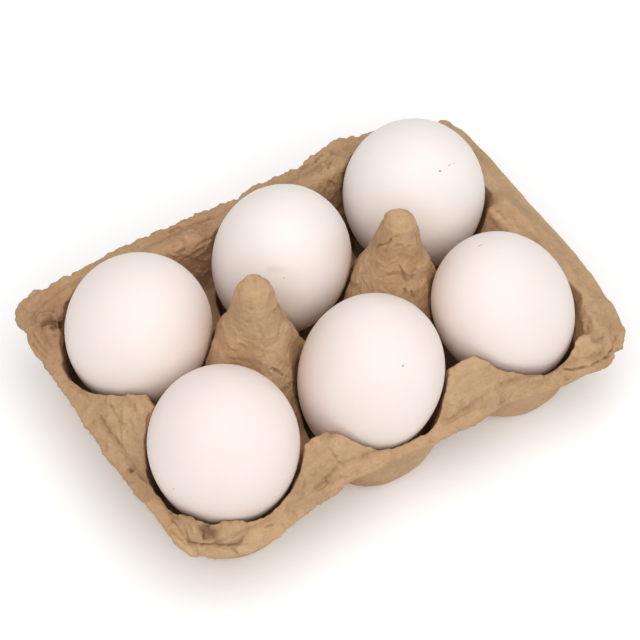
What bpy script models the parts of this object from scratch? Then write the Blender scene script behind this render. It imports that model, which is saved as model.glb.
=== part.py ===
"""Moulded-pulp egg carton base, two rows of three cups, with six white eggs.

The tray is one sheet of pulp.  Its upper skin is a height field: the lower of
an envelope (rim flange, buttresses between the cups, two tall posts in the
middle) and the walls of six round cups.  Its lower skin is the upper one
pushed down by one sheet thickness, measured square to the sheet.  The eggs
stand blunt end up, each leaning a little its own way.

Lengths in this file are millimetres until MM turns them into metres.  The
frame has +X along the long side, +Y towards the hinge side, +Z up, and its
origin under the middle of the object, on the surface it stands on.
"""
import math

import bmesh
import bpy
import numpy as np
from mathutils import Vector

for _ob in list(bpy.data.objects):
    bpy.data.objects.remove(_ob, do_unlink=True)

MM = 0.001

# ---------------------------------------------------------------- dimensions
SHEET = 2.5                 # thickness of the pulp sheet
SHIFT_X, SHIFT_Y = -1.371, 0.892  # puts the middle of the box over the origin

# cups: centre x, centre y, inner radius at CUP_REF_Z
CUPS = {
    "A": (-51.6, 23.9, 23.0), "B": (-0.9, 23.8, 21.9), "C": (48.6, 24.0, 22.8),
    "D": (-50.0, -25.2, 22.8), "E": (-0.2, -26.4, 22.2), "F": (49.6, -26.7, 22.8),
}
CUP_REF_Z = 27.6
# how the cup wall flares: radius beyond the reference radius, and its height
WALL_R = (-8.5, -4.6, -3.5, -2.7, -1.2, 0.0, 1.6, 3.9, 6.0, 8.0, 10.5)
WALL_Z = (2.5, 5.0, 8.0, 12.0, 20.0, 27.6, 40.0, 52.0, 62.0, 70.0, 78.0)
FLOOR_IN = 8.6              # the flat foot under a cup starts this far inside the reference circle
# pockets, where a cup's wall stands further off its egg: x, y, reach, how much
POCKETS = ((70.5, 14.5, 4.0, 1.8), (73.0, -31.5, 4.0, 1.8), (9.5, -48.0, 5.0, 1.3), (-75.5, 24.0, 6.0, 0.6))

CELL_X = (-75.2, -25.7, 24.3, 73.6)   # lines between the cells
CELL_Y = (-50.0, -1.2, 47.6)

# rim outline and height
EDGE_LEFT, EDGE_RIGHT, EDGE_FRONT, EDGE_BACK = -79.0, 80.3, -52.0, 53.2
CORNER = {(-1, -1): (18.0, 16.0), (1, -1): (8.0, 4.0), (-1, 1): (5.0, 8.0), (1, 1): (3.0, 3.0)}
RIM_Z = 27.8                # flange height on the front and the short ends
BACK_RISE = 6.0             # how much higher the hinge side stands
SADDLE_Z = 16.0             # ridge between two neighbouring cups
LIP_ROUND = 1.6             # rounding of the lip
# corners that hang: x, y, drop, reach
DROOP = ((-70, -51, 4.2, 13), (74, -53, 4.5, 14), (-80, 53, 1.8, 8), (79, 50, 1.5, 9))
# the flange sags in front of each front cup: x, width, drop
ROLL = ((-50.0, 13.0, 1.5), (5.0, 8.0, 2.2), (56.0, 9.0, 1.0))

# buttresses on the long sides: x, crest height in front, crest height behind,
# and how far out their front falls away to the left and to the right (from, to)
LONG_BUTTRESS = ((-25.0, 36.9, 37.0, (5.0, 17.0), (8.0, 22.0)), (24.6, 39.6, 38.5, (5.0, 17.0), (18.0, 25.0)))
SHORT_BUTTRESS_Y, SHORT_LEFT_Z, SHORT_RIGHT_Z = -1.0, 36.3, 38.5

# posts: x, y, height; and the cone's drop at a distance from the post's axis
POSTS = ((-25.0, -1.2, 69.7), (24.6, -1.3, 68.6))
CONE_D = (0.0, 3.3, 4.7, 5.7, 8.2, 10.3, 12.5, 15.2, 17.6, 21.0, 25.0)
CONE_DROP = (0.0, 0.5, 2.2, 6.0, 17.0, 23.0, 29.0, 37.0, 44.0, 51.0, 58.0)

# eggs: centre x, y, z, radius, half length, lean towards +X and +Y per unit of height
EGGS = {
    "egg_back_left": (-51.16, 23.81, 32.53, 22.26, 28.38, 0.055, -0.183),
    "egg_back_middle": (-0.93, 23.90, 32.68, 21.33, 28.76, 0.107, -0.137),
    "egg_back_right": (48.44, 24.07, 32.79, 22.35, 28.12, -0.071, -0.056),
    "egg_front_left": (-49.67, -25.09, 32.87, 22.38, 28.62, -0.049, -0.013),
    "egg_front_middle": (-0.21, -26.42, 32.73, 21.75, 30.00, 0.178, -0.011),
    "egg_front_right": (49.10, -26.69, 32.54, 21.18, 29.55, -0.365, 0.167),
}
BLUNT = 0.10                # how much fuller the upper half of an egg is

CELL_STEPS = 7              # mesh steps from the middle of a cell to its edge
LIP_STEP = 4                # the step that follows the lip of the cup
EGG_SEGMENTS, EGG_RINGS = 22, 13


# ------------------------------------------------------------------- helpers
def ease(a, b, x):
    t = np.clip((x - a) / (b - a), 0.0, 1.0)
    return t * t * (3.0 - 2.0 * t)


def lower(a, b, k):
    """Smooth minimum: the lower of two heights, blended over k."""
    h = np.clip(0.5 + 0.5 * (b - a) / k, 0.0, 1.0)
    return b * (1.0 - h) + a * h - k * h * (1.0 - h)


def higher(a, b, k):
    return -lower(-a, -b, k)


def hump(d, w):
    return np.exp(-(d / w) ** 2)


# ------------------------------------------------------------------- outline
def front_edge(x):
    return (EDGE_FRONT + 1.1 * hump(x + 0.2, 11) + 1.6 * hump(x + 22, 7) - 2.0 * hump(x + 50, 12)
            - 0.3 * hump(x - 18, 10) - 2.0 * ease(30, 50, x) * (1 - ease(68, 76, x)) - 1.5 * hump(x - 66, 6))


def left_edge(y):
    return EDGE_LEFT - 0.5 * hump(y - 38, 8) - 0.8 * hump(y - 49, 5) + 2.9 * ease(0, -34, y)


def right_edge(y):
    return EDGE_RIGHT + 0.4 + 1.7 * hump(y + 18, 26) - 2.0 * ease(34, 46, y) - 1.6 * ease(-38, -50, y)


def back_edge(x):
    return (EDGE_BACK + 0.5 * hump(x + 32, 12) - 0.9 * hump(x + 3, 7) - 1.2 * ease(-44, -62, x)
            - 0.8 * hump(x - 20, 9) + 0.3 * hump(x - 38, 7) - 3.2 * ease(54, 76, x))


def rim_height(x, y, depth):
    """Height of the flange; depth is the distance in from the outer edge."""
    z = RIM_Z + 0.0 * x
    z = z + ease(24, 48, y) * (BACK_RISE * ease(-82, -62, x) * (1 - ease(54, 72, x))
                               + 3.0 * hump(x - 37, 7) + 0.8 * hump(x + 58, 8))
    outer = 1 - ease(0.0, 6.0, y - front_edge(x))
    for cx, w, drop in ROLL:
        z = z - drop * hump(x - cx, w) * outer
    hang = 1 - ease(1.5, 9.0, depth)
    for cx, cy, drop, w in DROOP:
        z = z - drop * hump(np.hypot(x - cx, y - cy), w) * hang
    return z


def outline(fx, fy):
    """Point of the rim for a point (fx, fy) on the border of the square -1..1."""
    x = (EDGE_LEFT + EDGE_RIGHT) / 2 + fx * (EDGE_RIGHT - EDGE_LEFT) / 2
    y = (EDGE_FRONT + EDGE_BACK) / 2 + fy * (EDGE_BACK - EDGE_FRONT) / 2
    sx, sy = (1 if fx > 0 else -1), (1 if fy > 0 else -1)
    rx, ry = CORNER[(sx, sy)]
    ax = (EDGE_RIGHT if sx > 0 else EDGE_LEFT) - sx * rx
    ay = (EDGE_BACK if sy > 0 else EDGE_FRONT) - sy * ry
    dx, dy = (x - ax) * sx / rx, (y - ay) * sy / ry
    if dx > 0 and dy > 0:                       # square corner to a round one
        m, n = max(dx, dy), min(dx, dy)
        a = math.pi / 4 * n / m
        c, s = (math.cos(a), math.sin(a)) if dx >= dy else (math.sin(a), math.cos(a))
        x, y = ax + sx * rx * c * m, ay + sy * ry * s * m
    y += float(ease(0.75, 1, -fy) * (front_edge(x) - EDGE_FRONT)
               + ease(0.75, 1, fy) * (back_edge(x) - EDGE_BACK))
    x += float(ease(0.85, 1, -fx) * (left_edge(y) - EDGE_LEFT)
               + ease(0.85, 1, fx) * (right_edge(y) - EDGE_RIGHT))
    return x, y


# ------------------------------------------------------------------ surfaces
def cup_gap(x, y):
    """Distance outside the nearest cup's reference circle (negative inside)."""
    gap = None
    for cx, cy, r in CUPS.values():
        d = np.hypot(x - cx, y - cy) - r
        gap = d if gap is None else np.minimum(gap, d)
    return gap


def wall_gap(x, y):
    """Distance outside the nearest cup's circle, less where its wall stands off."""
    g = cup_gap(x, y)
    for px, py, w, wide in POCKETS:
        g = g - wide * hump(np.hypot(x - px, y - py), w)
    return g


def wall_height(g):
    z = np.interp(g, WALL_R, WALL_Z)
    return np.where(g > WALL_R[-1], WALL_Z[-1] + (g - WALL_R[-1]) * 3.0, z)


def envelope(x, y):
    in_front, in_back = y - front_edge(x), back_edge(x) - y
    in_left, in_right = x - left_edge(y), right_edge(y) - x
    depth = np.minimum(np.minimum(in_front, in_back), np.minimum(in_left, in_right))
    rim = rim_height(x, y, depth)
    z = SADDLE_Z + (rim - SADDLE_Z) * (1 - ease(9.5, 15, depth))
    # buttresses rise from the flange and fall back to the ridge between cups
    for bx, zf, zb, left, right in LONG_BUTTRESS:
        past = ease(-3.0, 4.0, x - bx)
        side = 1 - 0.9 * np.where(x < bx, ease(*left, bx - x), ease(*right, x - bx))
        rise = np.clip((in_front - 3.6 + 2.6 * past) / (7.0 + 2.0 * past), 0, 1) * (1 - ease(13.0, 18.5, in_front))
        z = z + np.maximum(zf - z, 0) * rise * side * (in_front < 30)
        side = 1 - 0.9 * ease(5.0, 17.0, np.abs(x - bx))
        rise = ease(2.0, 9.0, in_back) * (1 - ease(10.5, 17.0, in_back))
        z = z + np.maximum(zb - z, 0) * rise * side * (in_back < 30)
    off = y - SHORT_BUTTRESS_Y
    side = 1 - np.where(off > 0, 0.75 * ease(11.0, 22.0, off), 0.9 * ease(5.0, 18.0, -off))
    rise = np.clip((in_left - 0.5) / 13.0, 0, 1) * (1 - ease(17.5, 24.0, in_left))
    z = z + np.maximum(SHORT_LEFT_Z - z, 0) * rise * side * (in_left < 34)
    side = 1 - 0.9 * ease(5.0, 18.0, np.abs(off))
    rise = ease(0.0, 15.0, in_right) * (1 - ease(17.0, 25.0, in_right))
    z = z + np.maximum(SHORT_RIGHT_Z - z, 0) * rise * side * (in_right < 34)
    # a plain strip rises inward from the straight right-hand edge
    z = z + 2.2 * ease(0, 7, in_right) * (1 - ease(9, 14, in_right)) * (1 - ease(30, 46, np.abs(y + 1)))
    for px, py, pz in POSTS:
        z = higher(z, pz - np.interp(np.hypot(x - px, y - py), CONE_D, CONE_DROP), 1.5)
    return z


def upper_skin(x, y):
    return lower(envelope(x, y), wall_height(wall_gap(x, y)), LIP_ROUND)


def lower_skin(x, y):
    """The upper skin pushed down by SHEET, square to the sheet: at each point
    the lowest position of a ball of that radius rolled along the upper skin."""
    z = upper_skin(x, y) - SHEET
    for part, n in ((0.35, 6), (0.7, 12), (0.92, 18)):
        for k in range(n):
            a = 2 * math.pi * k / n + part
            dx, dy = SHEET * part * math.cos(a), SHEET * part * math.sin(a)
            z = np.minimum(z, upper_skin(x + dx, y + dy) - SHEET * math.sqrt(1 - part * part))
    z = np.maximum(z, 0.0)
    return np.where(cup_gap(x, y) < -FLOOR_IN + 0.01, 0.0, z)


# ----------------------------------------------------------------- mesh grid
def lip_reach(cx, cy, r, a):
    """How far beyond the reference circle the cup wall meets the envelope, in
    direction a from the cup's axis, so that a ring of the mesh can follow it."""
    lo, hi = np.full_like(a, -6.0), np.full_like(a, 11.0)
    for _ in range(22):
        g = (lo + hi) / 2
        x, y = cx + (r + g) * np.cos(a), cy + (r + g) * np.sin(a)
        over = wall_height(g - cup_gap(x, y) + wall_gap(x, y)) > envelope(x, y)
        hi, lo = np.where(over, g, hi), np.where(over, lo, g)
    return (lo + hi) / 2


def on_square(x, y):
    """Where a point of the cells' outer border lies on the square -1..1."""
    return ((2 * x - CELL_X[0] - CELL_X[-1]) / (CELL_X[-1] - CELL_X[0]),
            (2 * y - CELL_Y[0] - CELL_Y[-1]) / (CELL_Y[-1] - CELL_Y[0]))


def border_point(i, j, n):
    """Grid numbers on the cells' outer border to a point on its straight sides."""
    c, r = min(i // (2 * n), 2), min(j // (2 * n), 1)
    return (CELL_X[c] + (CELL_X[c + 1] - CELL_X[c]) * (i - 2 * n * c) / (2 * n),
            CELL_Y[r] + (CELL_Y[r + 1] - CELL_Y[r]) * (j - 2 * n * r) / (2 * n))


def inside_rim(cx, cy, x, y):
    """A point of a cell's edge, drawn in where the rounded rim would cut it off."""
    fx, fy = on_square(x, y)
    if max(abs(fx), abs(fy)) < 0.999:
        return x, y
    ox, oy = outline(fx, fy)
    reach, limit = math.hypot(x - cx, y - cy), math.hypot(ox - cx, oy - cy) - 1.8
    k = min(1.0, limit / reach)
    return cx + (x - cx) * k, cy + (y - cy) * k


def tray_grid(n, turn):
    """Plan positions and quads: rings round every cup, of which one follows the
    lip, that turn square towards the cell's edge, then rows out to the rim."""
    places, quads, known = [], [], {}
    for row in range(2):
        for col in range(3):
            cx, cy, r = CUPS["DEFABC"[row * 3 + col]]
            x0, x1, y0, y1 = CELL_X[col], CELL_X[col + 1], CELL_Y[row], CELL_Y[row + 1]
            index, spots, angles, depths, edges = {}, [], [], [], []
            for i in range(-n, n + 1):
                for j in range(-n, n + 1):
                    m = max(abs(i), abs(j))
                    if m == 0:
                        a = 0.0
                    elif abs(i) >= abs(j):
                        a = math.pi / 4 * j / i + (math.pi if i < 0 else 0)
                    else:
                        a = math.pi / 2 - math.pi / 4 * i / j + (math.pi if j < 0 else 0)
                    spots.append((i, j))
                    angles.append(a)
                    depths.append(m)
                    k = max(m, 1)
                    edges.append(((x0 + x1) / 2 + (x1 - x0) / 2 * i / k, (y0 + y1) / 2 + (y1 - y0) / 2 * j / k))
            a, m = np.array(angles), np.array(depths, float)
            edge = np.array([inside_rim(cx, cy, ex, ey) for ex, ey in edges])
            lip = lip_reach(cx, cy, r, a)
            room = np.hypot(edge[:, 0] - cx, edge[:, 1] - cy) - r
            lip = np.minimum(lip, room - 0.35)
            t = np.minimum(m / turn, 1.0)
            g = np.where(t < 0.4, np.interp(t, (0, 0.25, 0.4), (-r, -FLOOR_IN, -5.0)),
                         -5.0 + (lip + 5.0) * (t - 0.4) / 0.6)
            w = np.clip((m - turn) / (n - turn), 0, 1)
            px = (1 - w) * (cx + (r + g) * np.cos(a)) + w * edge[:, 0]
            py = (1 - w) * (cy + (r + g) * np.sin(a)) + w * edge[:, 1]
            for (i, j), x, y in zip(spots, px, py):
                key = (col * 2 * n + i + n, row * 2 * n + j + n)
                if key not in known:
                    known[key] = len(places)
                    places.append((float(x), float(y)))
                index[i, j] = known[key]
            for i in range(-n, n):
                for j in range(-n, n):
                    quads.append((index[i, j], index[i + 1, j], index[i + 1, j + 1], index[i, j + 1]))
    nx, ny = 6 * n, 4 * n
    walk = ([(i, 0) for i in range(nx)] + [(nx, j) for j in range(ny)]
            + [(i, ny) for i in range(nx, 0, -1)] + [(0, j) for j in range(ny, 0, -1)])
    inner = [known[k] for k in walk]
    around = [on_square(*border_point(i, j, n)) for i, j in walk]
    loop = inner
    for step in (0.5, 1.0):
        ring = []
        for k, (fx, fy) in zip(inner, around):
            bx, by = places[k]
            ox, oy = outline(fx, fy)
            ring.append(len(places))
            places.append((bx + (ox - bx) * step, by + (oy - by) * step))
        for k in range(len(loop)):
            q = (k + 1) % len(loop)
            quads.append((loop[k], ring[k], ring[q], loop[q]))
        loop = ring
    return np.array(places), quads, loop


# ------------------------------------------------------------------- objects
def material(name, colour, roughness):
    mat = bpy.data.materials.new(name)
    mat.use_nodes = True
    shader = mat.node_tree.nodes["Principled BSDF"]
    shader.inputs["Base Color"].default_value = (*colour, 1.0)
    shader.inputs["Roughness"].default_value = roughness
    shader.inputs["Metallic"].default_value = 0.0
    return mat


def add_object(name, mesh, mat):
    ob = bpy.data.objects.new(name, mesh)
    mesh.materials.append(mat)
    bpy.context.scene.collection.objects.link(ob)
    return ob


def split(at, q):
    """A quad as two triangles: along its shorter diagonal, unless that would
    turn one of them over in plan."""
    def area(i, j, k):
        u, v = at[j] - at[i], at[k] - at[i]
        return u[0] * v[1] - u[1] * v[0]
    one = ((q[0], q[1], q[2]), (q[0], q[2], q[3]))
    two = ((q[0], q[1], q[3]), (q[1], q[2], q[3]))
    worst_one, worst_two = min(area(*t) for t in one), min(area(*t) for t in two)
    if worst_one <= 0 or worst_two <= 0:
        return one if worst_one > worst_two else two
    return one if np.linalg.norm(at[q[0]] - at[q[2]]) < np.linalg.norm(at[q[1]] - at[q[3]]) else two


def make_tray():
    plan, quads, rim = tray_grid(CELL_STEPS, LIP_STEP)
    up = upper_skin(plan[:, 0], plan[:, 1])
    down = lower_skin(plan[:, 0], plan[:, 1])
    bm = bmesh.new()
    tops = [bm.verts.new(((p[0] + SHIFT_X) * MM, (p[1] + SHIFT_Y) * MM, z * MM)) for p, z in zip(plan, up)]
    bots = [bm.verts.new(((p[0] + SHIFT_X) * MM, (p[1] + SHIFT_Y) * MM, z * MM)) for p, z in zip(plan, down)]
    solid = np.column_stack((plan, up))
    for q in quads:                             # both skins are split the same way
        for tri in split(solid, q):
            bm.faces.new([tops[i] for i in tri])
            bm.faces.new([bots[i] for i in reversed(tri)])
    for k in range(len(rim)):
        a, b = rim[k], rim[(k + 1) % len(rim)]
        bm.faces.new((tops[b], tops[a], bots[a]))
        bm.faces.new((tops[b], bots[a], bots[b]))
    mesh = bpy.data.meshes.new("pulp_tray")
    bm.to_mesh(mesh)
    bm.free()
    mesh.shade_smooth()
    return add_object("pulp_tray", mesh, material("pulp", (0.53, 0.35, 0.20), 0.95))


def make_egg(name, x, y, z, radius, half, lean_x, lean_y, mat):
    """A turned egg: the circle's half profile, fuller towards the upper end."""
    bm = bmesh.new()
    line = []
    for k in range(EGG_RINGS + 1):
        t = math.cos(math.pi * k / EGG_RINGS)
        r = radius * math.sqrt(max(0.0, 1 - t * t)) * (1 + BLUNT * t) / (1 + BLUNT * BLUNT / 2)
        line.append(bm.verts.new((r * MM, 0.0, half * t * MM)))
    edges = [bm.edges.new((line[k], line[k + 1])) for k in range(EGG_RINGS)]
    bmesh.ops.spin(bm, geom=line + edges, cent=(0, 0, 0), axis=(0, 0, 1), dvec=(0, 0, 0),
                   angle=2 * math.pi, steps=EGG_SEGMENTS, use_duplicate=False)
    bmesh.ops.remove_doubles(bm, verts=bm.verts, dist=1e-6)
    bmesh.ops.recalc_face_normals(bm, faces=bm.faces)
    mesh = bpy.data.meshes.new(name)
    bm.to_mesh(mesh)
    bm.free()
    mesh.shade_smooth()
    ob = add_object(name, mesh, mat)
    ob.location = ((x + SHIFT_X) * MM, (y + SHIFT_Y) * MM, z * MM)
    ob.rotation_euler = Vector((0, 0, 1)).rotation_difference(Vector((lean_x, lean_y, 1)).normalized()).to_euler()
    return ob


make_tray()
shell = material("eggshell", (0.90, 0.86, 0.83), 0.55)
for egg_name, numbers in EGGS.items():
    make_egg(egg_name, *numbers, shell)
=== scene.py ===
"""Looks for the egg carton with eggs: moulded pulp with its lumps, fibres,
creases, pits and torn edge, and six matt white eggshells."""
import math

import bpy
import numpy as np
from mathutils import Matrix, Vector


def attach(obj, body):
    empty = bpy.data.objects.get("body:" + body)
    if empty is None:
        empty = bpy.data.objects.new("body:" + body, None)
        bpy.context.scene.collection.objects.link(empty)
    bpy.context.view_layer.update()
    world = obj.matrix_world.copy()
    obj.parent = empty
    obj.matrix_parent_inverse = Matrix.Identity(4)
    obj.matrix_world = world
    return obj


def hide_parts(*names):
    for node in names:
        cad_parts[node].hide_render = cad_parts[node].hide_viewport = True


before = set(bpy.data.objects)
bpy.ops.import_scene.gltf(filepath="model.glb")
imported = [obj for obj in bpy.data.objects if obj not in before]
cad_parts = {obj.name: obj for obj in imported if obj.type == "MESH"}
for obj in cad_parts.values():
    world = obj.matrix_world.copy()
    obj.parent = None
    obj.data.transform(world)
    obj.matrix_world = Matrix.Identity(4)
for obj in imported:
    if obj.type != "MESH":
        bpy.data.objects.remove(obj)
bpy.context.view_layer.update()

MM = 0.001

# ---------------------------------------------------------------- the design
# the same form as the CAD tray, in millimetres
SHEET = 2.5
SHIFT = np.array((-1.371, 0.892, 0.0))
CUPS = {
    "A": (-51.6, 23.9, 23.0), "B": (-0.9, 23.8, 21.9), "C": (48.6, 24.0, 22.8),
    "D": (-50.0, -25.2, 22.8), "E": (-0.2, -26.4, 22.2), "F": (49.6, -26.7, 22.8),
}
WALL_R = (-8.5, -4.6, -3.5, -2.7, -1.2, 0.0, 1.6, 3.9, 6.0, 8.0, 10.5)
WALL_Z = (2.5, 5.0, 8.0, 12.0, 20.0, 27.6, 40.0, 52.0, 62.0, 70.0, 78.0)
FLOOR_IN = 8.6
POCKETS = ((70.5, 14.5, 4.0, 1.8), (73.0, -31.5, 4.0, 1.8), (9.5, -48.0, 5.0, 1.3), (-75.5, 24.0, 6.0, 0.6))
CELL_X = (-75.2, -25.7, 24.3, 73.6)
CELL_Y = (-50.0, -1.2, 47.6)
EDGE_LEFT, EDGE_RIGHT, EDGE_FRONT, EDGE_BACK = -79.0, 80.3, -52.0, 53.2
CORNER = {(-1, -1): (18.0, 16.0), (1, -1): (8.0, 4.0), (-1, 1): (5.0, 8.0), (1, 1): (3.0, 3.0)}
RIM_Z, BACK_RISE, SADDLE_Z, LIP_ROUND = 27.8, 6.0, 16.0, 1.6
DROOP = ((-70, -51, 4.2, 13), (74, -53, 4.5, 14), (-80, 53, 1.8, 8), (79, 50, 1.5, 9))
ROLL = ((-50.0, 13.0, 1.5), (5.0, 8.0, 2.2), (56.0, 9.0, 1.0))
LONG_BUTTRESS = ((-25.0, 36.9, 37.0, (5.0, 17.0), (8.0, 22.0)), (24.6, 39.6, 38.5, (5.0, 17.0), (18.0, 25.0)))
SHORT_BUTTRESS_Y, SHORT_LEFT_Z, SHORT_RIGHT_Z = -1.0, 36.3, 38.5
POSTS = ((-25.0, -1.2, 69.7), (24.6, -1.3, 68.6))
CONE_D = (0.0, 3.3, 4.7, 5.7, 8.2, 10.3, 12.5, 15.2, 17.6, 21.0, 25.0)
CONE_DROP = (0.0, 0.5, 2.2, 6.0, 17.0, 23.0, 29.0, 37.0, 44.0, 51.0, 58.0)
EGGS = {
    "egg_back_left": (-51.16, 23.81, 32.53, 22.26, 28.38, 0.055, -0.183),
    "egg_back_middle": (-0.93, 23.90, 32.68, 21.33, 28.76, 0.107, -0.137),
    "egg_back_right": (48.44, 24.07, 32.79, 22.35, 28.12, -0.071, -0.056),
    "egg_front_left": (-49.67, -25.09, 32.87, 22.38, 28.62, -0.049, -0.013),
    "egg_front_middle": (-0.21, -26.42, 32.73, 21.75, 30.00, 0.178, -0.011),
    "egg_front_right": (49.10, -26.69, 32.54, 21.18, 29.55, -0.365, 0.167),
}
BLUNT = 0.10

# mesh: steps from the middle of a cell to its edge, on the skin that shows and
# on the underside, and the share of the steps that lies inside the lip
UPPER_STEPS, UNDER_STEPS = 112, 56
LIP_SHARE = 0.64
TRAY_TRIANGLES = 580000


# ------------------------------------------------------------------- helpers
def ease(a, b, x):
    t = np.clip((x - a) / (b - a), 0.0, 1.0)
    return t * t * (3.0 - 2.0 * t)


def lower(a, b, k):
    h = np.clip(0.5 + 0.5 * (b - a) / k, 0.0, 1.0)
    return b * (1.0 - h) + a * h - k * h * (1.0 - h)


def higher(a, b, k):
    return -lower(-a, -b, k)


def hump(d, w):
    return np.exp(-(d / w) ** 2)


_rng = np.random.RandomState(20406)
_perm = _rng.permutation(256)
_perm = np.concatenate((_perm, _perm, _perm))
_grad = _rng.normal(size=(256, 3))
_grad /= np.linalg.norm(_grad, axis=1)[:, None]


def noise(p, wavelength, seed=0):
    """Gradient noise, about -1..1, at points p (N x 3) in millimetres."""
    q = p / wavelength + seed * 17.31
    base = np.floor(q)
    f = q - base
    i = base.astype(np.int64) & 255
    u = f * f * f * (f * (f * 6 - 15) + 10)
    total = 0.0
    for dx in (0, 1):
        for dy in (0, 1):
            for dz in (0, 1):
                h = _perm[_perm[_perm[(i[:, 0] + dx) & 255] + ((i[:, 1] + dy) & 255)] + ((i[:, 2] + dz) & 255)]
                g = _grad[h]
                d = (g[:, 0] * (f[:, 0] - dx) + g[:, 1] * (f[:, 1] - dy) + g[:, 2] * (f[:, 2] - dz))
                w = ((u[:, 0] if dx else 1 - u[:, 0]) * (u[:, 1] if dy else 1 - u[:, 1])
                     * (u[:, 2] if dz else 1 - u[:, 2]))
                total = total + w * d
    return total * 1.6


def ridges(p, wavelength, seed=0):
    """Sharp crests, 0..1."""
    return 1.0 - np.minimum(1.0, np.abs(noise(p, wavelength, seed)) * 2.2)


# ------------------------------------------------------------------- outline
def front_edge(x):
    return (EDGE_FRONT + 1.1 * hump(x + 0.2, 11) + 1.6 * hump(x + 22, 7) - 2.0 * hump(x + 50, 12)
            - 0.3 * hump(x - 18, 10) - 2.0 * ease(30, 50, x) * (1 - ease(68, 76, x)) - 1.5 * hump(x - 66, 6))


def left_edge(y):
    return EDGE_LEFT - 0.5 * hump(y - 38, 8) - 0.8 * hump(y - 49, 5) + 2.9 * ease(0, -34, y)


def right_edge(y):
    return EDGE_RIGHT + 0.4 + 1.7 * hump(y + 18, 26) - 2.0 * ease(34, 46, y) - 1.6 * ease(-38, -50, y)


def back_edge(x):
    return (EDGE_BACK + 0.5 * hump(x + 32, 12) - 0.9 * hump(x + 3, 7) - 1.2 * ease(-44, -62, x)
            - 0.8 * hump(x - 20, 9) + 0.3 * hump(x - 38, 7) - 3.2 * ease(54, 76, x))


def rim_height(x, y, depth):
    z = RIM_Z + 0.0 * x
    z = z + ease(24, 48, y) * (BACK_RISE * ease(-82, -62, x) * (1 - ease(54, 72, x))
                               + 3.0 * hump(x - 37, 7) + 0.8 * hump(x + 58, 8))
    outer = 1 - ease(0.0, 6.0, y - front_edge(x))
    for cx, w, drop in ROLL:
        z = z - drop * hump(x - cx, w) * outer
    hang = 1 - ease(1.5, 9.0, depth)
    for cx, cy, drop, w in DROOP:
        z = z - drop * hump(np.hypot(x - cx, y - cy), w) * hang
    return z


def outline(fx, fy):
    """Points of the rim for points (fx, fy) on the border of the square -1..1."""
    x = (EDGE_LEFT + EDGE_RIGHT) / 2 + fx * (EDGE_RIGHT - EDGE_LEFT) / 2
    y = (EDGE_FRONT + EDGE_BACK) / 2 + fy * (EDGE_BACK - EDGE_FRONT) / 2
    for (sx, sy), (rx, ry) in CORNER.items():
        ax = (EDGE_RIGHT if sx > 0 else EDGE_LEFT) - sx * rx
        ay = (EDGE_BACK if sy > 0 else EDGE_FRONT) - sy * ry
        dx, dy = (x - ax) * sx / rx, (y - ay) * sy / ry
        inside = (dx > 0) & (dy > 0)
        m, k = np.maximum(dx, dy), np.minimum(dx, dy)
        a = math.pi / 4 * k / np.where(m == 0, 1, m)
        c = np.where(dx >= dy, np.cos(a), np.sin(a))
        s = np.where(dx >= dy, np.sin(a), np.cos(a))
        x = np.where(inside, ax + sx * rx * c * m, x)
        y = np.where(inside, ay + sy * ry * s * m, y)
    y = y + ease(0.75, 1, -fy) * (front_edge(x) - EDGE_FRONT) + ease(0.75, 1, fy) * (back_edge(x) - EDGE_BACK)
    x = x + ease(0.85, 1, -fx) * (left_edge(y) - EDGE_LEFT) + ease(0.85, 1, fx) * (right_edge(y) - EDGE_RIGHT)
    return x, y


# ------------------------------------------------------------------ surfaces
def cup_gap(x, y):
    gap = None
    for cx, cy, r in CUPS.values():
        d = np.hypot(x - cx, y - cy) - r
        gap = d if gap is None else np.minimum(gap, d)
    return gap


def wall_gap(x, y):
    """Distance outside the nearest cup's rim circle, less where its wall stands off."""
    g = cup_gap(x, y)
    for px, py, w, wide in POCKETS:
        g = g - wide * hump(np.hypot(x - px, y - py), w)
    return g


def wall_height(g):
    z = np.interp(g, WALL_R, WALL_Z)
    return np.where(g > WALL_R[-1], WALL_Z[-1] + (g - WALL_R[-1]) * 3.0, z)


def rim_depths(x, y):
    return y - front_edge(x), back_edge(x) - y, x - left_edge(y), right_edge(y) - x


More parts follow.
